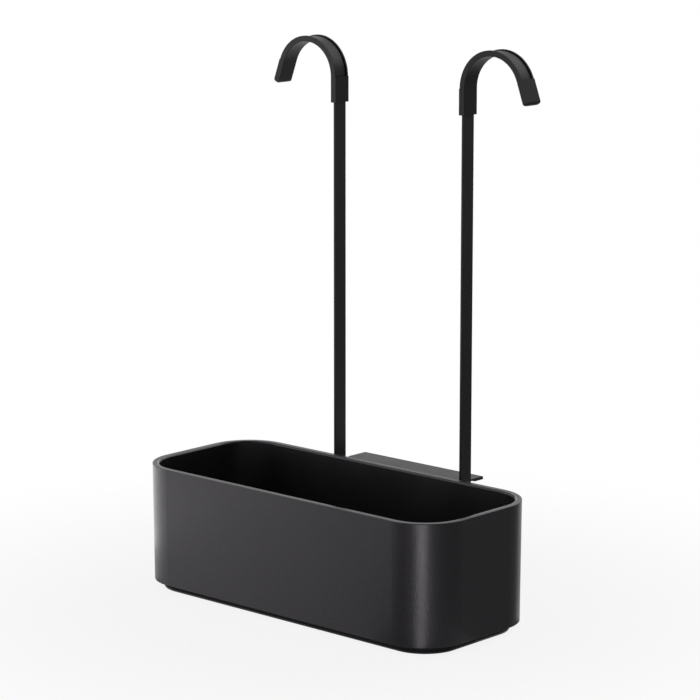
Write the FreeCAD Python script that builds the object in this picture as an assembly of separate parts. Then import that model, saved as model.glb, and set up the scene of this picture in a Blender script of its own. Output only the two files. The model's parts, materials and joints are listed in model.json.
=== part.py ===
# Hanging storage basket with two swivelling hook hangers.
# Millimetres, +Z up. The origin is the centre of the flat underside that the basket stands on.
# X runs along the basket, and +Y points to the back, where the hangers stand.
import FreeCAD, Part
import math
import os

# Outer shell: a moulded sleeve with a little draft, open at the top and the bottom
basket_length = 300.0
basket_depth = 125.0
corner_radius = 36.0
rim_height = 97.5
shell_bottom = 6.2
shell_wall = 2.8
shell_draft = 0.7
rim_round = 0.5

# Lift-out tray: its lip sits on a ledge in the shell, and its base shows below the shell
lip_height = 6.0
lip_width = 2.4
lip_chamfer = 1.1
lip_gap = 0.2
ledge_width = 1.2
ledge_height = 4.0
tray_clearance = 0.3
tray_wall = 2.0
tray_floor = 2.5
base_inset = 8.1
base_round = 0.6
floor_round = 6.0
drain_diameter = 6.0
drain_columns = 6
drain_rows = 2
drain_pitch = 38.0

# Rear bracket: folded sheet, with a flange that keeps the basket off the panel it hangs on
sheet = 1.5
bend_radius = 2.0
flange_drop = 6.3
flange_length = 120.0
flange_reach = 41.2
bracket_drop = 56.0
bracket_margin = 1.5
bracket_corner = 5.0
seat_margin = 2.0

# Soft strip on the flange's back edge: level with its top, with a lip under it
strip_depth = 2.0
strip_lip = 8.0
strip_lip_thickness = 1.0
strip_round = 0.6

# Screws and nuts that hold the bracket to the shell
bracket_screw_diameter = 5.0
bracket_screw_head = 9.2
bracket_screw_spacing_x = 50.0
bracket_screw_spacing_z = 24.0
bracket_screw_drop = 11.0
countersink_depth = 2.1
nut_flats = 8.0
nut_height = 4.0
thread_end = 1.0
hole_clearance = 0.2
drive_flats = 3.0
drive_depth = 1.4

# Hangers: flat bars that stand behind the basket
hanger_spacing = 127.6
hanger_standoff = 15.2
bar_width = 12.0
bar_thickness = 2.0
bar_round = 0.4
arch_height = 388.4
arch_radius = 27.7
arch_sweep = 159.75
tip_length = 17.6
tongue_width = 8.0
tongue_length = 16.0
notch_clearance = 0.9

# Soft hook covers
cover_wall = 1.5
cover_side = 1.4
cuff_length = 19.6
window_border = 0.95
cover_round = 0.6
cap_corner = 2.4

# Swivels: a spindle on each bar turns in a housing on the bracket
housing_drop = 13.5
housing_height = 38.0
housing_wall = 4.5
housing_round = 1.0
housing_flange = 4.0
housing_flange_length = 40.0
spindle_diameter = 10.0
running_clearance = 0.05
collar_diameter = 15.0
collar_height = 3.5
washer_diameter = 18.0
washer_thickness = 1.0
washer_clearance = 0.2
pin_diameter = 3.0
pin_recess = 0.3
pin_drop = 8.0
ring_diameter = 16.0
ring_thickness = 1.0
ring_gap = 0.3
ring_opening = 4.5
groove_depth = 1.0
spindle_end = 2.0
housing_screw_diameter = 4.0
housing_screw_head = 7.0
housing_screw_head_height = 2.4
head_round = 0.8

# Places worked out from the sizes above
back_wall = basket_depth / 2
bracket_back = back_wall + sheet
flange_top = rim_height - flange_drop
panel_stop = back_wall + flange_reach
flange_edge = panel_stop - strip_depth
hanger_x = hanger_spacing / 2
hanger_y = back_wall + hanger_standoff
housing_top = rim_height - housing_drop
housing_bottom = housing_top - housing_height
housing_radius = spindle_diameter / 2 + housing_wall
housing_screw_offset = (housing_radius + housing_flange_length / 2) / 2
washer_top = housing_top + washer_thickness
collar_bottom = washer_top + running_clearance
collar_top = collar_bottom + collar_height
ring_top = housing_bottom - ring_gap
ring_bottom = ring_top - ring_thickness
bracket_half_length = hanger_x + housing_flange_length / 2 + bracket_margin
bracket_bottom = flange_top - bracket_drop
point = FreeCAD.Vector
along_x = point(1, 0, 0)
along_y = point(0, 1, 0)
along_z = point(0, 0, 1)
flare = math.radians(180 - arch_sweep)
tip_normal = point(math.cos(flare), 0, math.sin(flare))
tip_heading = point(math.sin(flare), 0, -math.cos(flare))


def box(low, high):
    """A block between two opposite corners."""
    size = [b - a for a, b in zip(low, high)]
    return Part.makeBox(*size, point(*low))


def rod(diameter, start, axis, length):
    """A round bar that starts at a point and runs along an axis."""
    return Part.makeCylinder(diameter / 2, length, point(*start), axis)


def hexagon(flats, start, axis, length):
    """A six-sided bar of a width across flats, along X, Y or Z."""
    radius = flats / math.sqrt(3)
    side = point(axis.y, axis.z, axis.x)
    third = axis.cross(side)
    corners = []
    for step in range(7):
        turn = math.radians(60 * step)
        corners.append(point(*start) + side * (radius * math.cos(turn)) + third * (radius * math.sin(turn)))
    return Part.Face(Part.makePolygon(corners)).extrude(axis * length)


def inset_outline(inset, height):
    """The basket's outline with round corners, pulled in all round, at a height."""
    x = basket_length / 2 - inset
    y = basket_depth / 2 - inset
    radius = corner_radius - inset
    middle = radius * math.sqrt(0.5)
    edges = []
    for sx, sy in ((1, 1), (-1, 1), (-1, -1), (1, -1)):
        cx = sx * (x - radius)
        cy = sy * (y - radius)
        ends = [point(sx * x, cy, height), point(cx, sy * y, height)]
        if sx * sy < 0:
            ends.reverse()
        edges.append(Part.Arc(ends[0], point(cx + sx * middle, cy + sy * middle, height), ends[1]))
    wire = []
    for arc, following in zip(edges, edges[1:] + edges[:1]):
        wire.append(arc.toShape())
        wire.append(Part.LineSegment(arc.EndPoint, following.StartPoint).toShape())
    return Part.Wire(wire)


def tapered_block(low_inset, low, high_inset, high):
    """A block between two heights, with the basket's outline pulled in at each."""
    return Part.makeLoft([inset_outline(low_inset, low), inset_outline(high_inset, high)], True, True)


def runs_along(edge, direction):
    """Whether a straight edge runs along a direction."""
    return edge.Curve.TypeId == "Part::GeomLine" and abs(edge.Curve.Direction.dot(direction)) > 0.999


def edges_at(shape, height):
    """A shape's edges that lie flat at a height."""
    flat = []
    for edge in shape.Edges:
        if max(abs(vertex.Z - height) for vertex in edge.Vertexes) < 1e-6:
            flat.append(edge)
    return flat


def draft_at(height):
    """How far the shell's wall has drawn in at a height."""
    return shell_draft * (rim_height - height) / (rim_height - shell_bottom)


def bracket_screw_places():
    """X and Z of each screw between the bracket and the shell."""
    top = flange_top - bracket_screw_drop
    for x in (-bracket_screw_spacing_x / 2, bracket_screw_spacing_x / 2):
        for z in (top, top - bracket_screw_spacing_z):
            yield x, z


def screw_head_face(height):
    """Y of the shell's inner face at the back, where the screws' heads lie flush."""
    return back_wall - shell_wall - draft_at(height)


def housing_screw_places():
    """X and Z of each screw between a housing and the bracket."""
    for side in (-1, 1):
        for offset in (-housing_screw_offset, housing_screw_offset):
            yield side * hanger_x + offset, (housing_top + housing_bottom) / 2


def mirrored(shape):
    """The left-hand copy of a right-hand piece."""
    return shape.mirror(point(0, 0, 0), along_x)


def outer_shell():
    ledge_top = rim_height - lip_height
    ledge_bottom = ledge_top - ledge_height
    shell = tapered_block(shell_draft, shell_bottom, 0, rim_height)
    shell = shell.makeFillet(rim_round, edges_at(shell, rim_height) + edges_at(shell, shell_bottom))
    shell = shell.cut(tapered_block(shell_draft + shell_wall, shell_bottom, shell_wall, rim_height))
    ledge = tapered_block(draft_at(ledge_bottom) + shell_wall / 2, ledge_bottom,
                          draft_at(ledge_top) + shell_wall / 2, ledge_top)
    opening = shell_wall + ledge_width
    ledge = ledge.cut(tapered_block(opening, ledge_bottom, opening, ledge_top))
    pad = box((-bracket_half_length - seat_margin, back_wall - shell_wall, bracket_bottom - seat_margin),
              (bracket_half_length + seat_margin, back_wall, flange_top))
    shell = shell.fuse([ledge, pad])
    for x, z in bracket_screw_places():
        hole = bracket_screw_diameter + hole_clearance
        shell = shell.cut(rod(hole, (x, back_wall - 2 * shell_wall, z), along_y, 3 * shell_wall))
        shell = shell.cut(countersunk_head(x, z))
        head_face = screw_head_face(z)
        shell = shell.cut(rod(bracket_screw_head, (x, head_face - shell_wall, z), along_y, shell_wall))
    return shell.removeSplitter()


def inner_tray():
    lip_bottom = rim_height - lip_height
    lip_inset = shell_wall + lip_gap
    neck_inset = shell_wall + ledge_width + tray_clearance
    mouth_inset = lip_inset + lip_width
    tray = tapered_block(base_inset, 0, neck_inset, lip_bottom)
    tray = tray.makeFillet(base_round, edges_at(tray, 0))
    tray = tray.fuse(tapered_block(lip_inset, lip_bottom, lip_inset, rim_height))
    hollow = tapered_block(base_inset + tray_wall, tray_floor, mouth_inset, rim_height)
    tray = tray.cut(hollow.makeFillet(floor_round, edges_at(hollow, tray_floor)))
    tray = tray.cut(tapered_block(mouth_inset, rim_height - lip_chamfer, mouth_inset - lip_chamfer, rim_height))
    for column in range(drain_columns):
        for row in range(drain_rows):
            x = (column - (drain_columns - 1) / 2) * drain_pitch
            y = (row - (drain_rows - 1) / 2) * drain_pitch
            tray = tray.cut(rod(drain_diameter, (x, y, 0), along_z, tray_floor))
    return tray.removeSplitter()


def rear_bracket():
    outer = bend_radius + sheet
    inner_y = back_wall + outer
    inner_z = flange_top - outer
    slope = math.sqrt(0.5)
    lines = [point(0, back_wall, bracket_bottom), point(0, back_wall, inner_z),
             point(0, inner_y, flange_top), point(0, flange_edge, flange_top),
             point(0, flange_edge, flange_top - sheet), point(0, inner_y, flange_top - sheet),
             point(0, bracket_back, inner_z), point(0, bracket_back, bracket_bottom)]
    crown = point(0, inner_y - outer * slope, inner_z + outer * slope)
    hollow = point(0, inner_y - bend_radius * slope, inner_z + bend_radius * slope)
    edges = [Part.LineSegment(lines[0], lines[1]), Part.Arc(lines[1], crown, lines[2]),
             Part.LineSegment(lines[2], lines[3]), Part.LineSegment(lines[3], lines[4]),
             Part.LineSegment(lines[4], lines[5]), Part.Arc(lines[5], hollow, lines[6]),
             Part.LineSegment(lines[6], lines[7]), Part.LineSegment(lines[7], lines[0])]
    profile = Part.Face(Part.Wire([edge.toShape() for edge in edges]))
    profile.translate(point(-flange_length / 2, 0, 0))
    bracket = profile.extrude(along_x * flange_length)
    plate = box((-bracket_half_length, back_wall, bracket_bottom), (bracket_half_length, bracket_back, inner_z))
    upright = [edge for edge in plate.Edges if runs_along(edge, along_y)]
    bracket = bracket.fuse(plate.makeFillet(bracket_corner, upright))
    notch_diameter = math.hypot(bar_width, bar_thickness) + 2 * notch_clearance
    for side in (-1, 1):
        start = (side * hanger_x, hanger_y, flange_top - sheet)
        bracket = bracket.cut(rod(notch_diameter, start, along_z, sheet))
    for x, z in bracket_screw_places():
        bracket = bracket.cut(rod(bracket_screw_diameter + hole_clearance, (x, back_wall, z), along_y, sheet))
    for x, z in housing_screw_places():
        bracket = bracket.cut(rod(housing_screw_diameter, (x, back_wall, z), along_y, sheet))
    return bracket.removeSplitter()


def spacer_edge_strip():
    half = flange_length / 2
    lip_top = flange_top - sheet
    strip = box((-half, flange_edge - strip_lip, lip_top - strip_lip_thickness), (half, panel_stop, flange_top))
    back_edges = [edge for edge in strip.Edges if runs_along(edge, along_x) and edge.CenterOfMass.y > flange_edge]
    strip = strip.makeFillet(strip_round, back_edges)
    return strip.cut(box((-half, flange_edge - strip_lip, lip_top), (half, flange_edge, flange_top)))


def countersunk_head(x, z):
    """The cone of a countersunk screw's head, flat inside the shell."""
    return Part.makeCone(bracket_screw_head / 2, bracket_screw_diameter / 2, countersink_depth,
                         point(x, screw_head_face(z), z), along_y)


def bracket_screws():
    screws = []
    for x, z in bracket_screw_places():
        start = (x, screw_head_face(z), z)
        length = bracket_back + nut_height + thread_end - start[1]
        screw = rod(bracket_screw_diameter, start, along_y, length)
        screw = screw.fuse(countersunk_head(x, z))
        screws.append(screw.cut(hexagon(drive_flats, start, along_y, drive_depth)))
    return Part.makeCompound(screws)


def bracket_nuts():
    nuts = []
    for x, z in bracket_screw_places():
        start = (x, bracket_back, z)
        nut = hexagon(nut_flats, start, along_y, nut_height)
        nuts.append(nut.cut(rod(bracket_screw_diameter, start, along_y, nut_height)))
    return Part.makeCompound(nuts)


def swivel_housing():
    half = housing_flange_length / 2
    foot = box((hanger_x - half, bracket_back, housing_bottom),
               (hanger_x + half, bracket_back + housing_flange, housing_top))
    upright = [edge for edge in foot.Edges if runs_along(edge, along_y)]
    foot = foot.makeFillet(bracket_corner, upright)
    web = box((hanger_x - housing_radius, bracket_back, housing_bottom),
              (hanger_x + housing_radius, hanger_y, housing_top))
    bottom = (hanger_x, hanger_y, housing_bottom)
    housing = foot.fuse([web, rod(2 * housing_radius, bottom, along_z, housing_height)]).removeSplitter()
    outline = []
    for edge in edges_at(housing, housing_top) + edges_at(housing, housing_bottom):
        if edge.CenterOfMass.y > bracket_back + housing_flange:
            outline.append(edge)
    housing = housing.makeFillet(housing_round, outline)
    bore = spindle_diameter + 2 * running_clearance
    housing = housing.cut(rod(bore, bottom, along_z, housing_height))
    for x, z in housing_screw_places():
        hole = housing_screw_diameter + hole_clearance
        housing = housing.cut(rod(hole, (x, bracket_back, z), along_y, housing_flange))
    return housing.removeSplitter()


def housing_screws():
    screws = []
    for x, z in housing_screw_places():
        head_start = (x, bracket_back + housing_flange, z)
        shank = rod(housing_screw_diameter, (x, back_wall, z), along_y, sheet + housing_flange)
        head = rod(housing_screw_head, head_start, along_y, housing_screw_head_height)
        top_edge = [edge for edge in head.Edges if edge.BoundBox.YMin > head_start[1] + head_round]
        head = head.makeFillet(head_round, top_edge)
        drive_start = (x, head_start[1] + housing_screw_head_height - drive_depth, z)
        screws.append(shank.fuse(head).cut(hexagon(drive_flats, drive_start, along_y, drive_depth)))
    return Part.makeCompound(screws)


def friction_washer():
    start = (hanger_x, hanger_y, housing_top)
    washer = rod(washer_diameter, start, along_z, washer_thickness)
    return washer.cut(rod(spindle_diameter + 2 * washer_clearance, start, along_z, washer_thickness))


def pivot_spindle():
    bottom = (hanger_x, hanger_y, ring_bottom - spindle_end)
    spindle = rod(spindle_diameter, bottom, along_z, collar_bottom - bottom[2])
    spindle = spindle.fuse(rod(collar_diameter, (hanger_x, hanger_y, collar_bottom), along_z, collar_height))
    groove = rod(2 * spindle_diameter, (hanger_x, hanger_y, ring_bottom), along_z, ring_thickness)
    groove_core = spindle_diameter - 2 * groove_depth
    groove = groove.cut(rod(groove_core, (hanger_x, hanger_y, ring_bottom), along_z, ring_thickness))
    spindle = spindle.cut([groove, bar_foot(), bar_pin()])
    return spindle.removeSplitter()


def bar_pin():
    length = spindle_diameter - 2 * pin_recess
    start = (hanger_x - length / 2, hanger_y, collar_bottom - pin_drop)
    return rod(pin_diameter, start, along_x, length)


def retaining_ring():
    start = (hanger_x, hanger_y, ring_bottom)
    ring = rod(ring_diameter, start, along_z, ring_thickness)
    ring = ring.cut(rod(spindle_diameter - 2 * groove_depth, start, along_z, ring_thickness))
    opening = box((hanger_x - ring_opening / 2, hanger_y, ring_bottom),
                  (hanger_x + ring_opening / 2, hanger_y + ring_diameter, ring_top))
    return ring.cut(opening)


def bar_foot():
    """The bar's lower end: its full width in the collar, and a narrower tongue below it."""
    half = bar_thickness / 2
    wide = bar_width / 2
    narrow = tongue_width / 2
    foot = box((hanger_x - half, hanger_y - wide, collar_bottom), (hanger_x + half, hanger_y + wide, collar_top))
    tongue = box((hanger_x - half, hanger_y - narrow, collar_bottom - tongue_length),
                 (hanger_x + half, hanger_y + narrow, collar_bottom))
    return foot.fuse(tongue)


def hook_side(offset, bottom, tip, y):
    """Edges along one face of the hook, from the upright's foot over the arch to the tip.

    offset is the face's distance from the middle of the bar, away from the arch's centre.
    """
    centre = point(hanger_x + arch_radius, y, arch_height)
    radius = arch_radius + offset
    half_turn = math.radians(arch_sweep / 2)
    start = centre + point(-radius, 0, 0)
    crown = centre + point(-radius * math.cos(half_turn), 0, radius * math.sin(half_turn))
    end = centre + tip_normal * radius
    foot = point(start.x, y, bottom)
    return foot, start, crown, end, end + tip_heading * tip


def hook_band(bottom, inside, outside, tip, half_width):
    """A band along the hook's line, from a height on the upright to past the arch's end.

    inside and outside are its faces' distances from the middle of the bar.
    """
    outer = hook_side(outside, bottom, tip, hanger_y - half_width)
    inner = hook_side(-inside, bottom, tip, hanger_y - half_width)
    edges = [Part.LineSegment(outer[0], outer[1]), Part.Arc(outer[1], outer[2], outer[3]),
             Part.LineSegment(outer[3], outer[4]), Part.LineSegment(outer[4], inner[4]),
             Part.LineSegment(inner[4], inner[3]), Part.Arc(inner[3], inner[2], inner[1]),
             Part.LineSegment(inner[1], inner[0]), Part.LineSegment(inner[0], outer[0])]
    outline = Part.Face(Part.Wire([edge.toShape() for edge in edges]))
    return outline.extrude(along_y * (2 * half_width))


def arch_block(inner_offset, outer_offset, half_width):
    """A curved block over the arch alone, between two distances from the middle of the bar."""
    outer = hook_side(outer_offset, arch_height, 0, hanger_y - half_width)
    inner = hook_side(inner_offset, arch_height, 0, hanger_y - half_width)
    edges = [Part.Arc(outer[1], outer[2], outer[3]), Part.LineSegment(outer[3], inner[3]),
             Part.Arc(inner[3], inner[2], inner[1]), Part.LineSegment(inner[1], outer[1])]
    outline = Part.Face(Part.Wire([edge.toShape() for edge in edges]))
    return outline.extrude(along_y * (2 * half_width))


def hanger_bar():
    half = bar_thickness / 2
    bar = hook_band(collar_top, half, half, tip_length, bar_width / 2)
    lengthwise = []
    for edge in bar.Edges:
        across = runs_along(edge, along_x) or runs_along(edge, along_y) or runs_along(edge, tip_normal)
        if not across:
            lengthwise.append(edge)
    bar = bar.makeFillet(bar_round, lengthwise)
    return bar.fuse(bar_foot()).cut(bar_pin()).removeSplitter()


def hook_cover():
    face = bar_thickness / 2
    wall = face + cover_wall
    half_width = bar_width / 2 + cover_side
    cuff_bottom = arch_height - cuff_length
    cover = hook_band(cuff_bottom, wall, wall, tip_length + cover_wall, half_width)
    cover = cover.makeFillet(cap_corner, [edge for edge in cover.Edges if runs_along(edge, tip_normal)])
    rounded = []
    for edge in cover.Edges:
        at_cuff_mouth = edge.BoundBox.ZMax < cuff_bottom + cover_round
        if not at_cuff_mouth and not runs_along(edge, tip_normal) and not runs_along(edge, along_y):
            rounded.append(edge)
    cover = cover.makeFillet(cover_round, rounded)
    cover = cover.cut(arch_block(face + window_border, 2 * wall, half_width))
    cover = cover.cut(arch_block(face, 2 * wall, bar_width / 2))
    bar = hook_band(cuff_bottom, face, face, tip_length, bar_width / 2)
    return cover.cut(bar).removeSplitter()


pieces = {
    "outer_shell": outer_shell(),
    "inner_tray": inner_tray(),
    "rear_bracket": rear_bracket(),
    "spacer_edge_strip": spacer_edge_strip(),
    "bracket_screws": bracket_screws(),
    "bracket_nuts": bracket_nuts(),
    "housing_screws": housing_screws(),
}
sided = {
    "swivel_housing": swivel_housing(),
    "friction_washer": friction_washer(),
    "pivot_spindle": pivot_spindle(),
    "bar_pin": bar_pin(),
    "retaining_ring": retaining_ring(),
    "hanger_bar": hanger_bar(),
    "hook_cover": hook_cover(),
}
for name, shape in sided.items():
    pieces["right_" + name] = shape
    pieces["left_" + name] = mirrored(shape)

os.makedirs("parts", exist_ok=True)
for name, shape in pieces.items():
    shape.exportStep("parts/" + name + ".step")
    box_of = shape.BoundBox
    print(f"{name}: {len(shape.Solids)} solid(s), valid {shape.isValid()}, {shape.Volume / 1000:.2f} cm3,"
          f" x {box_of.XMin:.2f} {box_of.XMax:.2f}, y {box_of.YMin:.2f} {box_of.YMax:.2f},"
          f" z {box_of.ZMin:.2f} {box_of.ZMax:.2f}")
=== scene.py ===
# %% [markdown]
# # A hanging storage basket in satin black
# The real object is a moulded basket with a lift-out tray, hung from two flat steel bars whose
# hooked ends wear soft covers. The CAD model holds every working piece, so it is loaded first as a
# fixed frame, in metres.

# %% Load the frame
import json
import math

import bmesh
import bpy
from mathutils import Matrix, Vector

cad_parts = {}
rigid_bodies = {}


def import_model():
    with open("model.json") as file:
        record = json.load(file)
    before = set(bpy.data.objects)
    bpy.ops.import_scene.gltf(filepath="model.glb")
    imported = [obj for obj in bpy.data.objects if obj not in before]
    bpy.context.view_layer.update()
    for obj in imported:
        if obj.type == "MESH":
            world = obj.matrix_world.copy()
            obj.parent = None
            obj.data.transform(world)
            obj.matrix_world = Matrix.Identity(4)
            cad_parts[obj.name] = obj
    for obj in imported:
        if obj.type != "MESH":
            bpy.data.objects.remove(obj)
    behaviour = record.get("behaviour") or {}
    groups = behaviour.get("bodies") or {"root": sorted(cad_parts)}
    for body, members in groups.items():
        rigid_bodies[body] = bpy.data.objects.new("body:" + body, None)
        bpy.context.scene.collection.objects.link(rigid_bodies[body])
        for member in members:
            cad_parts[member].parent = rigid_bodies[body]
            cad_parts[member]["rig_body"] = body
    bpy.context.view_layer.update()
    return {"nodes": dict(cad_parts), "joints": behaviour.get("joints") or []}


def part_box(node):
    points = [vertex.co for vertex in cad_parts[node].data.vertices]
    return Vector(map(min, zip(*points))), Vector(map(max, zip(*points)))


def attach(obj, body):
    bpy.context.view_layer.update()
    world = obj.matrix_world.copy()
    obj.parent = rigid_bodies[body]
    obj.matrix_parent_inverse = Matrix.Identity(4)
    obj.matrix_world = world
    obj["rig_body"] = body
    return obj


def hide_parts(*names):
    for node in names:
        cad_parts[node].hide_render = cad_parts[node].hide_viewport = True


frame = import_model()
nodes = frame["nodes"]
mm = 0.001

# %% [markdown]
# ## Camera
# The photograph is taken from the right of the front, a little above the rim. A long lens keeps the
# basket's parallel edges nearly parallel. The camera stands unshifted, so that other views stay true.

# %% Camera
camera_place = (1.41591, -1.53486, 0.60868)
camera_turn = 42.333
camera_tilt = 11.182
camera_lens = 147.99
sight_limit = 50

camera = bpy.data.objects.new("camera", bpy.data.cameras.new("camera"))
bpy.context.scene.collection.objects.link(camera)
camera.location = camera_place
camera.rotation_euler = (math.radians(90 - camera_tilt), 0, math.radians(camera_turn))
camera.data.lens = camera_lens
camera.data.clip_end = sight_limit
bpy.context.scene.camera = camera
bpy.context.scene.view_settings.view_transform = "Standard"
print("camera:", camera_place, "lens:", camera_lens)

# %% [markdown]
# ## Helpers for node graphs
# A Blender material is a graph of small nodes. A few kinds come back all the time: arithmetic on two
# values, arithmetic on a vector, and a change from one range of values to another. Each has a helper
# here, so that every finish further down reads as a short list of steps.

# %% Helpers for node graphs


def start_material(name):
    """A new material with its graph and the shader that Blender puts there."""
    material = bpy.data.materials.new(name)
    material.use_nodes = True
    tree = material.node_tree
    return material, tree, tree.nodes["Principled BSDF"]


def piece_place(tree):
    """Where a point lies, in the piece's own frame."""
    return tree.nodes.new("ShaderNodeTexCoord").outputs["Object"]


def arithmetic(tree, operation, first, second):
    node = tree.nodes.new("ShaderNodeMath")
    node.operation = operation
    tree.links.new(first, node.inputs[0])
    tree.links.new(second, node.inputs[1])
    return node.outputs["Value"]


def vector_step(tree, operation, vector, fixed=None):
    """Works on a vector, with a fixed second vector where the operation takes one."""
    node = tree.nodes.new("ShaderNodeVectorMath")
    node.operation = operation
    tree.links.new(vector, node.inputs[0])
    if fixed is not None:
        node.inputs[1].default_value = fixed
    return node.outputs


def remap(tree, value, reach, levels, way="LINEAR"):
    """Turns the reach of a value into a pair of levels, and holds them beyond it."""
    node = tree.nodes.new("ShaderNodeMapRange")
    node.interpolation_type = way
    node.inputs["From Min"].default_value, node.inputs["From Max"].default_value = reach
    node.inputs["To Min"].default_value, node.inputs["To Max"].default_value = levels
    tree.links.new(value, node.inputs["Value"])
    return node.outputs["Result"]


def show_mix(tree, share, first, second, output):
    """Sends a mix of two shaders to the graph's output."""
    mix = tree.nodes.new("ShaderNodeMixShader")
    tree.links.new(share, mix.inputs["Fac"])
    tree.links.new(first, mix.inputs[1])
    tree.links.new(second, mix.inputs[2])
    tree.links.new(mix.outputs["Shader"], tree.nodes[output].inputs["Surface"])


def sees_background(tree):
    """A value that is 1 for camera, glossy and transmission rays."""
    path = tree.nodes.new("ShaderNodeLightPath")
    value = path.outputs["Is Camera Ray"]
    for ray in ("Is Glossy Ray", "Is Transmission Ray"):
        value = arithmetic(tree, "MAXIMUM", value, path.outputs[ray])
    return value


print("helpers for node graphs are ready")

# %% [markdown]
# ## Floor
# The photograph is cut out on white, so the floor shows plain white to the camera and to reflections.
# A white emission everywhere would lose the shadow. Near the basket the floor therefore shows a share
# of its real shading, and under the base nothing else, so that the drain holes don't glow.

# %% Floor
floor_half = 20
floor_paint = (0.9, 0.9, 0.9, 1)
shadow_reach = (0.14, 0.5)
shadow_share = 0.13
corner_radius = 36 * mm
shell_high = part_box("outer_shell")[1]
corner_centre = Vector((shell_high.x - corner_radius, shell_high.y - corner_radius, 0))
base_fade = (20 * mm, 27.5 * mm)


def outside_base(tree, place):
    """A value that rises from 0 under the basket to 1 at the rounded edge of its base."""
    folded = vector_step(tree, "ABSOLUTE", place)["Vector"]
    past_centre = vector_step(tree, "SUBTRACT", folded, corner_centre)["Vector"]
    outside = vector_step(tree, "MAXIMUM", past_centre, (0, 0, 0))["Vector"]
    distance = vector_step(tree, "LENGTH", outside)["Value"]
    return remap(tree, distance, base_fade, (0, 1), "SMOOTHSTEP")


def floor_finish():
    material, tree, shader = start_material("pale_floor")
    tree.nodes.remove(shader)
    place = piece_place(tree)
    distance = vector_step(tree, "LENGTH", place)["Value"]
    fade = remap(tree, distance, shadow_reach, (1 - shadow_share, 1), "SMOOTHSTEP")
    glow = arithmetic(tree, "MULTIPLY", fade, outside_base(tree, place))
    share = arithmetic(tree, "MULTIPLY", glow, sees_background(tree))
    matt = tree.nodes.new("ShaderNodeBsdfDiffuse")
    matt.inputs["Color"].default_value = floor_paint
    plain_white = tree.nodes.new("ShaderNodeEmission")
    show_mix(tree, share, matt.outputs["BSDF"], plain_white.outputs["Emission"], "Material Output")
    return material


def link_mesh(name, work, material):
    """Makes a bmesh into an object at the origin, with one material."""
    mesh = bpy.data.meshes.new(name)
    work.to_mesh(mesh)
    work.free()
    mesh.materials.append(material)
    made = bpy.data.objects.new(name, mesh)
    bpy.context.scene.collection.objects.link(made)
    return made


work = bmesh.new()
bmesh.ops.create_grid(work, x_segments=1, y_segments=1, size=floor_half)
floor = link_mesh("floor", work, floor_finish())
print("floor half width:", floor_half, "m, shadow share:", shadow_share)

# %% [markdown]
# ## Room
# The room round the basket is white where it is seen, and gives only a soft low light. One strength
# can't do both, so the world mixes two backgrounds by the kind of ray that asks.

# %% Room
room_light = 0.3
white = (1, 1, 1, 1)

world = bpy.data.worlds.new("studio")
bpy.context.scene.world = world
world.use_nodes = True
room = world.node_tree
soft_room = room.nodes["Background"]
soft_room.inputs["Color"].default_value = white
soft_room.inputs["Strength"].default_value = room_light
white_room = room.nodes.new("ShaderNodeBackground")
white_room.inputs["Color"].default_value = white
show_mix(room, sees_background(room), soft_room.outputs["Background"], white_room.outputs["Background"],
         "World Output")
print("room light:", room_light)

# %% [markdown]
# ## Lamps
# A soft box at the front left lights the long face, brightest at its upper left, and a weak one behind
# keeps the back readable in other views. A panel that lies on the table beside the left end draws the
# pale line on the round edge there. The camera looks down, so an upright face mirrors the table, and a
# lamp above the horizon could not draw that line.

# %% Lamps
aim = Vector((0, 0, 0.1))


def lamp_panel(name, place, size, power):
    """A soft rectangular lamp that the camera itself doesn't see."""
    lamp = bpy.data.lights.new(name, "AREA")
    lamp.shape = "RECTANGLE"
    lamp.size, lamp.size_y = size
    lamp.energy = power
    holder = bpy.data.objects.new(name, lamp)
    bpy.context.scene.collection.objects.link(holder)
    holder.visible_camera = False
    holder.location = place
    print(name, "at", place, "with", power, "W")
    return holder


def soft_box(name, place, size, power):
    """A standing panel that faces the basket."""
    holder = lamp_panel(name, place, size, power)
    holder.rotation_euler = (aim - Vector(place)).to_track_quat("-Z", "Y").to_euler()


def table_panel(name, place, size, power):
    """A panel that lies on the table and faces up."""
    holder = lamp_panel(name, place, size, power)
    holder.rotation_euler = (math.pi, 0, 0)


soft_box("key_box", place=(-0.95, -0.72, 0.36), size=(0.7, 0.7), power=2.3)
soft_box("back_box", place=(0.3, 1.4, 1.2), size=(1.2, 0.8), power=4)
table_panel("edge_panel", place=(-0.42, 0.1, 0.002), size=(0.36, 0.64), power=1.0)

# %% [markdown]
# ## Cloths for the reflections
# Satin black shows hardly any light of its own: its tones are a blurred picture of the room. A
# photographer lays out grey cloths for that, and so does this scene. Each cloth is a sheet that only
# reflections see. It goes from one shade to another across the table, so that no hard edge shows.

# %% Cloths for the reflections
fade_heading = (1, -0.6, 0)
fade_reach = (-0.15, 0.27)
on_table = 0.5 * mm
under_base = 3 * on_table


def cloth_finish(name, shades, reach):
    """A plain glow that goes from one shade to another along the fade."""
    material, tree, shader = start_material(name)
    tree.nodes.remove(shader)
    along = vector_step(tree, "DOT_PRODUCT", piece_place(tree), fade_heading)["Value"]
    glow = tree.nodes.new("ShaderNodeEmission")
    tree.links.new(remap(tree, along, reach, shades), glow.inputs["Strength"])
    tree.links.new(glow.outputs["Emission"], tree.nodes["Material Output"].inputs["Surface"])
    return material


def show_in_reflections(name, work, shades, reach):
    """Makes a bmesh into a sheet that only reflections see."""
    sheet = link_mesh(name, work, cloth_finish(name, shades, reach))
    sheet.visible_camera = False
    sheet.visible_diffuse = False
    sheet.visible_shadow = False
    sheet.visible_transmission = False
    print(name, "glows from", shades[0], "to", shades[1])


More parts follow.
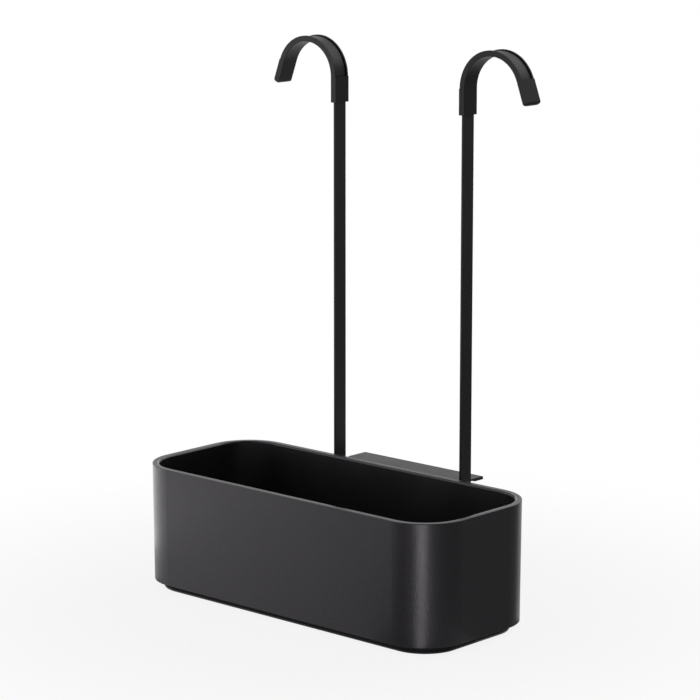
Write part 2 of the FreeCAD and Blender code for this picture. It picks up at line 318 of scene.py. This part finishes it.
def cloth(name, low, high, shades):
    """A plain sheet between two corners, lying or upright."""
    work = bmesh.new()
    bmesh.ops.create_grid(work, x_segments=1, y_segments=1, size=0.5)
    span = Vector(high) - Vector(low)
    if span.z > 0:
        bmesh.ops.rotate(work, matrix=Matrix.Rotation(math.radians(90), 3, "Y"), verts=work.verts)
    bmesh.ops.scale(work, vec=span, verts=work.verts)
    bmesh.ops.translate(work, vec=(Vector(low) + Vector(high)) / 2, verts=work.verts)
    show_in_reflections(name, work, shades, fade_reach)


cloth("front_cloth", low=(-0.6, -1.5, on_table), high=(1.6, 0, on_table), shades=(1, 0.22))
cloth("right_cloth", low=(0.152, 0, on_table), high=(1.6, 1.5, on_table), shades=(0.2, 0.2))
cloth("side_cloth", low=(1.0, -0.3, 0), high=(1.0, 1.6, 0.9), shades=(0.2, 0.2))
cloth("top_cloth", low=(-0.2, -1.4, 0.9), high=(1.2, 0.3, 0.9), shades=(0.02, 0.02))
# Painted shade: a dim glowing sheet under the basket, seen only in reflections, stands in for the shade
# that falls on the floor there.
cloth("painted_shade_under_basket", low=(-shell_high.x, -shell_high.y, under_base),
      high=(shell_high.x, shell_high.y, under_base), shades=(0.1, 0.1))

# %% [markdown]
# ## Cards for the round corner
# The front corner carries a dark band and a soft upright streak. A strip of light would give a streak
# that narrows towards the rim, because the rim mirrors the table farther away. A wedge that fans out
# from the corner's own centre keeps it even. The headings are in degrees from straight ahead.

# %% Cards for the round corner
card_start = Vector((corner_centre.x, -corner_centre.y, 2 * on_table))
card_reach = (0.05, 1.2)
card_fade = (0.13, 0.45)


def card(name, headings, shades):
    """A wedge on the table, between two headings from the front corner."""
    near, far = card_reach
    low, high = (math.radians(heading) for heading in headings)
    work = bmesh.new()
    for distance, heading in ((near, low), (near, high), (far, high), (far, low)):
        work.verts.new(card_start + distance * Vector((math.sin(heading), -math.cos(heading), 0)))
    work.faces.new(work.verts[:])
    show_in_reflections(name, work, shades, card_fade)


card("dark_card", headings=(-29, 27), shades=(0.12, 0.12))
card("streak_card", headings=(27.5, 42.5), shades=(2.2, 7))

# %% [markdown]
# ## Surface effects
# Two effects are shared by most finishes: the fine grain that a mould or a powder coat leaves, and the
# faint cloudiness of a handled surface. Each is one node group, so every finish can set its own size.

# %% Grain and clouding groups
grain_detail = 2
cloud_detail = 3
cloud_spread = (0.3, 0.7)


def effect_group(name, inputs, output):
    """An empty group with its named sockets: the group, its two ends and the place."""
    group = bpy.data.node_groups.new(name, "ShaderNodeTree")
    for socket in inputs:
        group.interface.new_socket(socket, in_out="INPUT", socket_type="NodeSocketFloat")
    group.interface.new_socket(output, in_out="OUTPUT", socket_type="NodeSocketFloat")
    return group, group.nodes.new("NodeGroupInput"), group.nodes.new("NodeGroupOutput"), piece_place(group)


def noise_in(group, place, scale, detail):
    noise = group.nodes.new("ShaderNodeTexNoise")
    noise.inputs["Detail"].default_value = detail
    group.links.new(place, noise.inputs["Vector"])
    group.links.new(scale, noise.inputs["Scale"])
    return noise.outputs["Fac"]


def grain_effect():
    """Fine closed pimples, as a spark-eroded mould leaves them."""
    group, given, out, place = effect_group("fine_grain", ["Scale"], "Height")
    group.links.new(noise_in(group, place, given.outputs["Scale"], grain_detail), out.inputs["Height"])
    return group


def cloud_effect():
    """Broad soft patches between two values."""
    group, given, out, place = effect_group("soft_clouds", ["Scale", "Low", "High"], "Value")
    spread = group.nodes.new("ShaderNodeMapRange")
    spread.inputs["From Min"].default_value, spread.inputs["From Max"].default_value = cloud_spread
    patches = noise_in(group, place, given.outputs["Scale"], cloud_detail)
    group.links.new(patches, spread.inputs["Value"])
    group.links.new(given.outputs["Low"], spread.inputs["To Min"])
    group.links.new(given.outputs["High"], spread.inputs["To Max"])
    group.links.new(spread.outputs["Result"], out.inputs["Value"])
    return group


def place_effect(tree, effect, **values):
    """Puts a shared effect into a material with its own values and returns what it gives."""
    node = tree.nodes.new("ShaderNodeGroup")
    node.node_tree = effect
    for socket, value in values.items():
        node.inputs[socket].default_value = value
    return node.outputs[0]


grain = grain_effect()
clouds = cloud_effect()
print("effects:", grain.name, clouds.name)

# %% [markdown]
# ## A grained finish
# Moulded plastic and powder coat are alike in build: a dark colour, a grain that catches the light and
# a gloss that varies a little from patch to patch. One function makes them all. The grain goes into the
# normal, because it is far too fine for geometry, and it lightens the colour a trifle on its peaks.

# %% A grained finish
black_cast = (0.97, 0.89, 1)
sheen_cast = (0.98, 0.93, 1, 1)
grain_contrast = 0.12
handled_scale = 18
handled_spread = 0.04


def raise_grain(tree, shader, height, depth):
    """Feeds a height into the shader's normal."""
    bump = tree.nodes.new("ShaderNodeBump")
    bump.inputs["Distance"].default_value = depth
    tree.links.new(height, bump.inputs["Height"])
    tree.links.new(bump.outputs["Normal"], shader.inputs["Normal"])


def mix_colours(tree, shader, share, first, second):
    """Feeds a mix of two colours into the shader's base colour."""
    tint = tree.nodes.new("ShaderNodeMix")
    tint.data_type = "RGBA"
    tint.inputs["A"].default_value = (*first, 1)
    tint.inputs["B"].default_value = (*second, 1)
    tree.links.new(share, tint.inputs["Factor"])
    tree.links.new(tint.outputs["Result"], shader.inputs["Base Color"])


def grained_finish(name, shade, roughness, grain_size, grain_depth, gloss, cast=black_cast):
    """A moulded or coated surface: a shade with a slight cast of colour, its gloss and its grain."""
    material, tree, shader = start_material(name)
    shader.inputs["Specular IOR Level"].default_value = gloss
    shader.inputs["Specular Tint"].default_value = sheen_cast
    height = place_effect(tree, grain, Scale=1 / grain_size)
    raise_grain(tree, shader, height, grain_depth)
    valley = [shade * part * (1 - grain_contrast) for part in cast]
    peak = [shade * part * (1 + grain_contrast) for part in cast]
    mix_colours(tree, shader, height, valley, peak)
    patches = place_effect(tree, clouds, Scale=handled_scale, Low=roughness - handled_spread,
                           High=roughness + handled_spread)
    tree.links.new(patches, shader.inputs["Roughness"])
    print("finish:", name)
    return material


print("grain contrast:", grain_contrast, "spread of the gloss:", handled_spread)

# %% [markdown]
# ## Plastic, paint and nylon
# All the large pieces are satin black, but not the same black: the shell has a spark-eroded grain, the
# tray a smoother one, the steel a powder coat with a slight orange peel, and the covers a duller, softer
# skin. The swivels' housings are filled nylon, and their washers natural nylon, which is ivory.

# %% Plastic, paint and nylon
ivory_cast = (1, 0.97, 0.89)

finishes = {
    "shell_plastic": grained_finish("shell_satin_black", shade=0.0165, roughness=0.38, grain_size=1.6 * mm,
                                    grain_depth=0.1 * mm, gloss=0.5),
    "tray_plastic": grained_finish("tray_satin_black", shade=0.0115, roughness=0.31, grain_size=0.7 * mm,
                                   grain_depth=0.008 * mm, gloss=0.45),
    "coated_steel": grained_finish("powder_coat_black", shade=0.0115, roughness=0.44, grain_size=1.2 * mm,
                                   grain_depth=0.006 * mm, gloss=0.28),
    "soft_cover": grained_finish("soft_skin_black", shade=0.005, roughness=0.5, grain_size=0.7 * mm,
                                 grain_depth=0.02 * mm, gloss=0.26),
    "housing_nylon": grained_finish("filled_nylon_black", shade=0.02, roughness=0.55, grain_size=1.2 * mm,
                                    grain_depth=0.03 * mm, gloss=0.4),
    "washer_nylon": grained_finish("natural_nylon", shade=0.7, roughness=0.45, grain_size=1 * mm,
                                   grain_depth=0.02 * mm, gloss=0.5, cast=ivory_cast),
}
print("slots with a finish:", len(finishes))

# %% [markdown]
# ## The rubbed lip
# Hands lift the tray by its lip, so the flat top of the lip is glossier than the rest and draws the fine
# bright line round the rim. A second material would need its own faces. Scaling the roughness by height
# keeps the tray one piece with one finish.

# %% The rubbed lip
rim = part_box("inner_tray")[1].z
rubbed_band = (rim - 0.6 * mm, rim - 0.2 * mm)
rubbed_share = 0.4


def polish_lip(material):
    """Makes a finish glossier towards the top of the rim."""
    tree = material.node_tree
    roughness = tree.nodes["Principled BSDF"].inputs["Roughness"]
    dull = roughness.links[0].from_socket
    height = tree.nodes.new("ShaderNodeSeparateXYZ")
    tree.links.new(piece_place(tree), height.inputs["Vector"])
    rubbed = remap(tree, height.outputs["Z"], rubbed_band, (1, rubbed_share))
    tree.links.new(arithmetic(tree, "MULTIPLY", dull, rubbed), roughness)
    print("polished:", material.name, "up to", round(rim / mm, 2), "mm")


polish_lip(finishes["tray_plastic"])

# %% [markdown]
# ## Zinc plate
# The screws, nuts, spindles, pins and rings are turned or stamped from steel and zinc plated. The plate
# is a bright metal with fine lines from the lathe and a faint warm and cool tint. Stretched noise makes
# the lines, because the cutter's marks run round each piece and differ from one to the next.

# %% Zinc finish
line_spread = (900, 900, 6000)
line_detail = 2
line_depth = 0.008 * mm
zinc_warm = (0.66, 0.64, 0.58)
zinc_cool = (0.6, 0.63, 0.67)
tint_scale = 160
dulling_scale = 300
zinc_roughness = (0.28, 0.4)


def zinc_finish():
    material, tree, shader = start_material("zinc_plate")
    shader.inputs["Metallic"].default_value = 1
    stretch = tree.nodes.new("ShaderNodeMapping")
    stretch.inputs["Scale"].default_value = line_spread
    tree.links.new(piece_place(tree), stretch.inputs["Vector"])
    lines = tree.nodes.new("ShaderNodeTexNoise")
    lines.inputs["Scale"].default_value = 1
    lines.inputs["Detail"].default_value = line_detail
    tree.links.new(stretch.outputs["Vector"], lines.inputs["Vector"])
    raise_grain(tree, shader, lines.outputs["Fac"], line_depth)
    passivation = place_effect(tree, clouds, Scale=tint_scale, Low=0, High=1)
    mix_colours(tree, shader, passivation, zinc_warm, zinc_cool)
    low, high = zinc_roughness
    dulled = place_effect(tree, clouds, Scale=dulling_scale, Low=low, High=high)
    tree.links.new(dulled, shader.inputs["Roughness"])
    print("finish:", material.name)
    return material


finishes["zinc_steel"] = zinc_finish()

# %% [markdown]
# ## Dressing the CAD pieces
# Every CAD piece takes the finish of its material slot. The pieces that are modelled anew further down
# take theirs from the node that they stand for.

# %% Finishes on the nodes
slots = {}
for name, node in nodes.items():
    slots[name] = node.data.materials[0].name
    node.data.materials[0] = finishes[slots[name]]
    print(name, "wears", finishes[slots[name]].name)

# %% [markdown]
# ## Helpers for swept pieces
# Most of what follows is a flat section that travels: it is pulled along a line or swung round an axis,
# as a bar is drawn and bent. Both operators need the section's faces with their edges and corners, or
# they leave a copy behind. A finished piece loses the faces that came out empty, and rides on the body of
# the node that it replaces.

# %% Helpers for swept pieces
smooth_angle = math.radians(35)
weld = 0.001 * mm


def faces_in(geometry):
    return [item for item in geometry if isinstance(item, bmesh.types.BMFace)]


def corners_of(faces):
    return list(dict.fromkeys(vert for face in faces for vert in face.verts))


def with_borders(faces):
    """Faces with their edges and corners, so that an operator takes the whole region along."""
    edges = list(dict.fromkeys(edge for face in faces for edge in face.edges))
    return faces + edges + corners_of(faces)


def pull(work, faces, travel):
    """Extrudes faces by a vector and returns the faces at the new end."""
    end = faces_in(bmesh.ops.extrude_face_region(work, geom=with_borders(faces))["geom"])
    bmesh.ops.translate(work, vec=travel, verts=corners_of(end))
    return end


def swing(work, faces, centre, axis, angle, steps):
    """Spins faces round an axis and returns the faces at the new end."""
    made = bmesh.ops.spin(work, geom=with_borders(faces), cent=centre, axis=axis, angle=angle, steps=steps,
                          use_duplicate=False)
    return faces_in(made["geom_last"])


def open_edges(work):
    return sum(not edge.is_manifold for edge in work.edges)


def add_piece(name, work, node):
    """Closes a bmesh into a finished piece that rides and is finished as the node it replaces."""
    bmesh.ops.dissolve_degenerate(work, dist=weld, edges=work.edges)
    bmesh.ops.recalc_face_normals(work, faces=work.faces)
    still_open = open_edges(work)
    piece = link_mesh(name, work, nodes[node].data.materials[0])
    piece.data.shade_smooth()
    piece.data.set_sharp_from_angle(angle=smooth_angle)
    flats = piece.modifiers.new("flat_faces", "WEIGHTED_NORMAL")
    flats.keep_sharp = True
    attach(piece, nodes[node]["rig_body"])
    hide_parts(node)
    print(name, "faces:", len(piece.data.polygons), "open edges:", still_open)


def mirrored(work):
    other = work.copy()
    bmesh.ops.scale(other, vec=(-1, 1, 1), verts=other.verts)
    return other


print("helpers for swept pieces are ready")

# %% [markdown]
# ## Where a bar runs
# On the real object each hanger is one flat steel bar, rolled into an arch at the top. Its sizes are
# read from the frame: the swivel's axis runs through the bar's middle, and the node's box gives the rest.
# Only the arch's radius and sweep are repeated here, because a box doesn't tell them.

# %% Where a bar runs
arch_radius = 27.7 * mm
arch_sweep = math.radians(159.75)
arch_steps = 96
along_y = Vector((0, 1, 0))
upwards = Vector((0, 0, 1))

swivel = next(joint for joint in frame["joints"] if joint["name"] == "right_hook_swivel")
bar_low, bar_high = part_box("right_hanger_bar")
bar_middle = Vector((swivel["pos_m"][0], swivel["pos_m"][1], 0))
bar_thickness = 2 * (bar_middle.x - bar_low.x)
bar_width = bar_high.y - bar_low.y
arch_height = bar_high.z - arch_radius - bar_thickness / 2
arch_centre = bar_middle + Vector((arch_radius, 0, arch_height))
tip_heading = Matrix.Rotation(arch_sweep, 3, "Y") @ upwards


def roll(work, faces):
    """Swings faces round the arch and returns the faces at its end."""
    return swing(work, faces, arch_centre, along_y, arch_sweep, arch_steps)


print("bar:", round(bar_width / mm, 2), "by", round(bar_thickness / mm, 2), "mm")

# %% [markdown]
# ## Hanger bars
# The bar is narrowed to a tongue at the foot, which sits in the swivelling spindle. A curve with a bevel
# would do, but a section that is pulled and swung follows the bender's own steps and keeps the flats
# flat. The right hanger is made first, and the left one is its mirror image.

# %% Hanger bars
tip_length = 17.6 * mm
bar_edge = 0.4 * mm
edge_segments = 3
tongue_width = 8 * mm
running_clearance = 0.05 * mm
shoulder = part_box("right_friction_washer")[1].z + running_clearance

work = bmesh.new()
bmesh.ops.create_grid(work, x_segments=1, y_segments=1, size=0.5)
bmesh.ops.scale(work, vec=(bar_thickness, bar_width, 1), verts=work.verts)
bmesh.ops.bevel(work, geom=work.verts[:], affect="VERTICES", offset=bar_edge, segments=edge_segments,
                profile=0.5, material=-1)
bmesh.ops.translate(work, vec=bar_middle + upwards * shoulder, verts=work.verts)
foot = work.faces[:]
upright = pull(work, foot, upwards * (arch_height - shoulder))
pull(work, roll(work, upright), tip_heading * tip_length)
tongue = pull(work, foot, Vector())
bmesh.ops.scale(work, vec=(1, tongue_width / bar_width, 1), space=Matrix.Translation(-bar_middle),
                verts=corners_of(tongue))
pull(work, tongue, upwards * (bar_low.z - shoulder))
add_piece("left_bar", mirrored(work), "left_hanger_bar")
add_piece("right_bar", work, "right_hanger_bar")

# %% [markdown]
# ## Cross-section of a cover
# Each hook wears a soft moulded cover: a closed sleeve at the cuff and at the tip, and between them a
# channel whose low side walls leave the top of the bar bare. It could be cut from a block with
# Booleans. Here the cross-section is a grid whose lines lie on the cover's walls, so that each stretch
# takes just the cells that it needs, and all stretches share their corners.

# %% Cross-section of a cover
window_border = 0.95 * mm
cover_low, cover_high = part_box("right_hook_cover")
cover_face = bar_middle.x - cover_low.x
cover_half = (cover_high.y - cover_low.y) / 2
bar_face = bar_thickness / 2
bar_half = bar_width / 2
depth_lines = [-cover_face, -bar_face, bar_face, bar_face + window_border, cover_face]
width_lines = [-cover_half, -bar_half, bar_half, cover_half]


def section(work, columns, rows, place, wanted):
    """The wanted cells of a cross-section whose lines are given, put in place."""
    spans = len(columns) - 1, len(rows) - 1
    verts = bmesh.ops.create_grid(work, x_segments=spans[0], y_segments=spans[1], size=0.5)["verts"]
    for vert in verts:
        column = round((vert.co.x + 0.5) * spans[0])
        row = round((vert.co.y + 0.5) * spans[1])
        vert.co = columns[column], rows[row], 0
    cells = list(dict.fromkeys(face for vert in verts for face in vert.link_faces))
    unwanted = [cell for cell in cells if not wanted(cell.calc_center_median())]
    kept = [cell for cell in cells if cell not in unwanted]
    bmesh.ops.delete(work, geom=unwanted, context="FACES")
    bmesh.ops.transform(work, matrix=place, verts=corners_of(kept))
    return kept


def cover_section(work, place, wanted):
    """Cells of the cover; x runs away from the arch's middle and y across the bar."""
    return section(work, depth_lines, width_lines, place, wanted)


def in_bar(cell):
    return abs(cell.x) < bar_face and abs(cell.y) < bar_half


def in_sleeve(cell):
    return not in_bar(cell)


def above_channel(cell):
    over_bar = cell.x > bar_face and abs(cell.y) < bar_half
    return over_bar or cell.x > bar_face + window_border


def in_channel(cell):
    return not above_channel(cell)


def anywhere(cell):
    return True


def faces_near(work, place, wanted):
    """Faces that lie on a placed cross-section, chosen by their cell."""
    back = place.inverted()
    found = []
    for face in work.faces:
        on_plane = all(abs((back @ vert.co).z) < weld for vert in face.verts)
        if on_plane and wanted(back @ face.calc_center_median()):
            found.append(face)
    return found


print("cover walls:", [round(line / mm, 2) for line in depth_lines])

# %% [markdown]
# ## Hook covers
# The sleeve is pulled up from the cuff, the channel rolls on round the arch, and the tip goes straight
# on to a closed cap. Where a stretch begins with cells that the last one lacked, those are laid in and
# welded. A last pass dissolves the lines that the grid left on flat walls, so that rounds run clean.

# %% Hook covers
flat_angle = math.radians(0.1)
outwards = Matrix.Rotation(math.pi, 4, "Z")
to_arch = Matrix.Translation(arch_centre)
arch_turn = to_arch @ Matrix.Rotation(arch_sweep, 4, "Y") @ Matrix.Translation(-arch_centre)
cuff_place = Matrix.Translation(bar_middle + upwards * cover_low.z) @ outwards
arch_start = Matrix.Translation(bar_middle + upwards * arch_height) @ outwards
arch_end = arch_turn @ arch_start
tip_end = Matrix.Translation(tip_heading * tip_length) @ arch_end
cap_thickness = cover_face - bar_face

work = bmesh.new()
cuff = cover_section(work, cuff_place, in_sleeve)
pull(work, cuff, upwards * (arch_height - cover_low.z))
roll(work, faces_near(work, arch_start, in_channel))
cover_section(work, arch_end, above_channel)
bmesh.ops.remove_doubles(work, verts=work.verts, dist=weld)
pull(work, faces_near(work, arch_end, in_sleeve), tip_heading * tip_length)
cover_section(work, arch_end, above_channel)
cover_section(work, tip_end, in_bar)
bmesh.ops.remove_doubles(work, verts=work.verts, dist=weld)
pull(work, faces_near(work, tip_end, anywhere), tip_heading * cap_thickness)
cover_section(work, tip_end, in_bar)
bmesh.ops.remove_doubles(work, verts=work.verts, dist=weld)
bmesh.ops.recalc_face_normals(work, faces=work.faces)
bmesh.ops.dissolve_limit(work, angle_limit=flat_angle, verts=work.verts, edges=work.edges)
print("cover: open edges", open_edges(work))

# %% [markdown]
# ## Softening the covers
# A soft moulding is rounded where it meets a hand or a panel. The edges of the cap's end get a large
# round, and those of the inner face, which lies on the panel, as much as the steps of the arch leave room
# for. The edges are found by where they lie.

# %% Rounds on the covers
cap_round = 2.4 * mm
cap_segments = 6
grip_round = 0.37 * mm
grip_segments = 4


def round_off(work, edges, radius, segments):
    bmesh.ops.bevel(work, geom=edges, affect="EDGES", offset=radius, segments=segments, profile=0.5,
                    material=-1, clamp_overlap=True)
    print("rounded", len(edges), "edges by", round(radius / mm, 2), "mm")


def lies_at(edge, place, axis, value):
    """True if both ends of an edge have this value on one axis of a placed frame."""
    back = place.inverted()
    return all(abs((back @ vert.co)[axis] - value) < weld for vert in edge.verts)


def on_side(edge):
    """True if both ends of an edge lie on the cover's sides."""
    return all(abs(abs(vert.co.y - bar_middle.y) - cover_half) < weld for vert in edge.verts)


def on_inner_face(edge):
    """True for an edge along the face that looks at the arch's middle."""
    middle = (edge.verts[0].co + edge.verts[1].co) / 2
    if middle.z < arch_height and middle.x < arch_centre.x:
        return lies_at(edge, arch_start, 0, -cover_face)
    if (arch_end.inverted() @ middle).z > 0:
        return lies_at(edge, arch_end, 0, -cover_face)
    reach = arch_radius - cover_face
    return all(abs((vert.co - arch_centre).xz.length - reach) < weld for vert in edge.verts)


cap_plane = tip_length + cap_thickness
cap_edges = [edge for edge in work.edges if on_side(edge) and lies_at(edge, arch_end, 2, cap_plane)]
round_off(work, cap_edges, cap_round, cap_segments)
grips = [edge for edge in work.edges if on_side(edge) and on_inner_face(edge)]
round_off(work, grips, grip_round, grip_segments)
add_piece("left_cover", mirrored(work), "left_hook_cover")
add_piece("right_cover", work, "right_hook_cover")

# %% [markdown]
# ## Edge strip
# A soft strip is pushed on the spacer flange's back edge, so that the steel doesn't touch the panel. It
# is an L in section: a nose behind the edge and a lip under the plate. Its section is cut from the same
# kind of grid, pulled along the flange, and its nose is rounded because that is what meets the panel.

# %% Edge strip
strip_low, strip_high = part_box("spacer_edge_strip")
flange_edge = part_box("rear_bracket")[1].y
strip_lip = 1 * mm
nose_round = 0.8 * mm
nose_segments = 4
strip_round = 0.2 * mm
strip_segments = 2
sharp = math.radians(60)
lip_top = strip_low.z + strip_lip
depths = [strip_low.y, flange_edge, strip_high.y]
heights = [strip_low.z, lip_top, strip_high.z]
along_flange = Matrix(((0, 0, 1, strip_low.x), (1, 0, 0, 0), (0, 1, 0, 0), (0, 0, 0, 1)))


def in_strip(cell):
    return cell.x > flange_edge or cell.y < lip_top


def on_nose(edge):
    """True for the long outer edges that meet the panel."""
    lengthwise = edge.verts[0].co.x != edge.verts[1].co.x
    return lengthwise and edge.is_convex and lies_at(edge, along_flange, 0, strip_high.y)


def sharp_edges(work):
    return [edge for edge in work.edges if edge.is_convex and edge.calc_face_angle() > sharp]


work = bmesh.new()
strip_end = section(work, depths, heights, along_flange, in_strip)
pull(work, strip_end, Vector((strip_high.x - strip_low.x, 0, 0)))
bmesh.ops.recalc_face_normals(work, faces=work.faces)
round_off(work, [edge for edge in work.edges if on_nose(edge)], nose_round, nose_segments)
round_off(work, sharp_edges(work), strip_round, strip_segments)
add_piece("edge_strip", work, "spacer_edge_strip")

# %% [markdown]
# ## Section of the lift-out tray
# The tray is a deep moulded trough: a floor with drain holes, walls with a little draft, and a lip that
# hangs on a ledge in the shell. It could be a box that is bevelled and hollowed. Here the wall and half
# the floor are drawn once, as a cut through a corner's centre, and the cut's own corners are rounded.

# %% Section of the lift-out tray
tray_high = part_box("inner_tray")[1]
lip_radius = 33 * mm
lip_height = 6 * mm
lip_width = 2.4 * mm
lip_chamfer = 1.1 * mm
lip_round = 0.3 * mm
neck_inset = 1.3 * mm
base_inset = 5.1 * mm
base_round = 0.6 * mm
tray_wall = 2 * mm
tray_floor = 2.5 * mm
floor_round = 6 * mm
small_segments = 3
floor_segments = 10
half_x = tray_high.x - lip_radius
half_y = tray_high.y - lip_radius
neck_radius = lip_radius - neck_inset
mouth_radius = lip_radius - lip_width
base_radius = lip_radius - base_inset
ledge = rim - lip_height


def tray_section(work):
    """The cut through the wall at the front right corner, with its edges rounded."""
    outline = [(0, 0), (base_radius, 0), (neck_radius, ledge), (lip_radius, ledge), (lip_radius, rim),
               (mouth_radius + lip_chamfer, rim), (mouth_radius, rim - lip_chamfer),
               (base_radius - tray_wall, tray_floor), (0, tray_floor)]
    corners = [work.verts.new((half_x, -half_y - out, height)) for out, height in outline]
    work.faces.new(corners)
    foot, floor_corner, lip = corners[1], corners[7], corners[3:7]
    rounds = (([foot], base_round, small_segments), ([floor_corner], floor_round, floor_segments),
              (lip, lip_round, small_segments))
    for verts, radius, segments in rounds:
        bmesh.ops.bevel(work, geom=verts, affect="VERTICES", offset=radius, segments=segments, profile=0.5,
                        material=-1)
    return work.faces[:]


work = bmesh.new()
faces = tray_section(work)
print("tray section:", len(faces[0].verts), "corners")

# %% [markdown]
# ## Tray walls
# The section swings round a corner, is pulled along a side, and so on round the tray, which keeps the
# lip's small rounds even all the way. Its two end faces then meet inside the wall and are deleted, and
# so is what the sweep left between the corners' centres, where the floor is filled in next.

# %% Tray walls
corner_steps = 72
seam_weld = 0.01 * mm
quarter = math.radians(90)
right = Vector((half_x, 0, 0))
front = Vector((0, -half_y, 0))
sides = ((right + front, -2 * front), (right - front, -2 * right),
         (-right - front, 2 * front), (-right + front, 2 * right))


def in_middle(vert):
    return abs(vert.co.x) < half_x + weld and abs(vert.co.y) < half_y + weld


for centre, travel in sides:
    faces = pull(work, swing(work, faces, centre, upwards, quarter, corner_steps), travel)
end_caps = [face for face in work.faces if len(face.verts) > 4]
bmesh.ops.delete(work, geom=end_caps, context="FACES_ONLY")
bmesh.ops.remove_doubles(work, verts=work.verts, dist=seam_weld)
inner_faces = [face for face in work.faces if all(in_middle(vert) for vert in face.verts)]
bmesh.ops.delete(work, geom=inner_faces, context="FACES_ONLY")
loose = [edge for edge in work.edges if not edge.link_faces]
bmesh.ops.delete(work, geom=loose, context="EDGES")
print("tray walls:", len(work.faces), "faces")

# %% [markdown]
# ## Tray floor
# Water runs out through two rows of drain holes. Cutting them with a Boolean would leave slivers in
# the floor. Each hole is instead a ring whose edge is extruded into its wall, and one fill between the
# outer ring and the holes closes the floor above and the base below.

# %% Tray floor
drain_radius = 3 * mm
drain_pitch = 38 * mm
drain_columns = 6
drain_rows = 2
drain_sides = 32


def drain_hole(work, column, row):
    """The wall of one drain hole, from the base to the floor."""
    x = (column - (drain_columns - 1) / 2) * drain_pitch
    y = (row - (drain_rows - 1) / 2) * drain_pitch
    ring = bmesh.ops.create_circle(work, segments=drain_sides, radius=drain_radius,
                                   matrix=Matrix.Translation((x, y, 0)))["verts"]
    edges = list(dict.fromkeys(edge for vert in ring for edge in vert.link_edges))
    wall = bmesh.ops.extrude_edge_only(work, edges=edges)["geom"]
    top = [item for item in wall if isinstance(item, bmesh.types.BMVert)]
    bmesh.ops.translate(work, vec=upwards * tray_floor, verts=top)


def open_at(edge, level):
    return edge.is_boundary and all(abs(vert.co.z - level) < weld for vert in edge.verts)


for column in range(drain_columns):
    for row in range(drain_rows):
        drain_hole(work, column, row)
for level in (0, tray_floor):
    rings = [edge for edge in work.edges if open_at(edge, level)]
    bmesh.ops.triangle_fill(work, use_beauty=True, edges=rings, normal=upwards)
add_piece("lift_out_tray", work, "inner_tray")
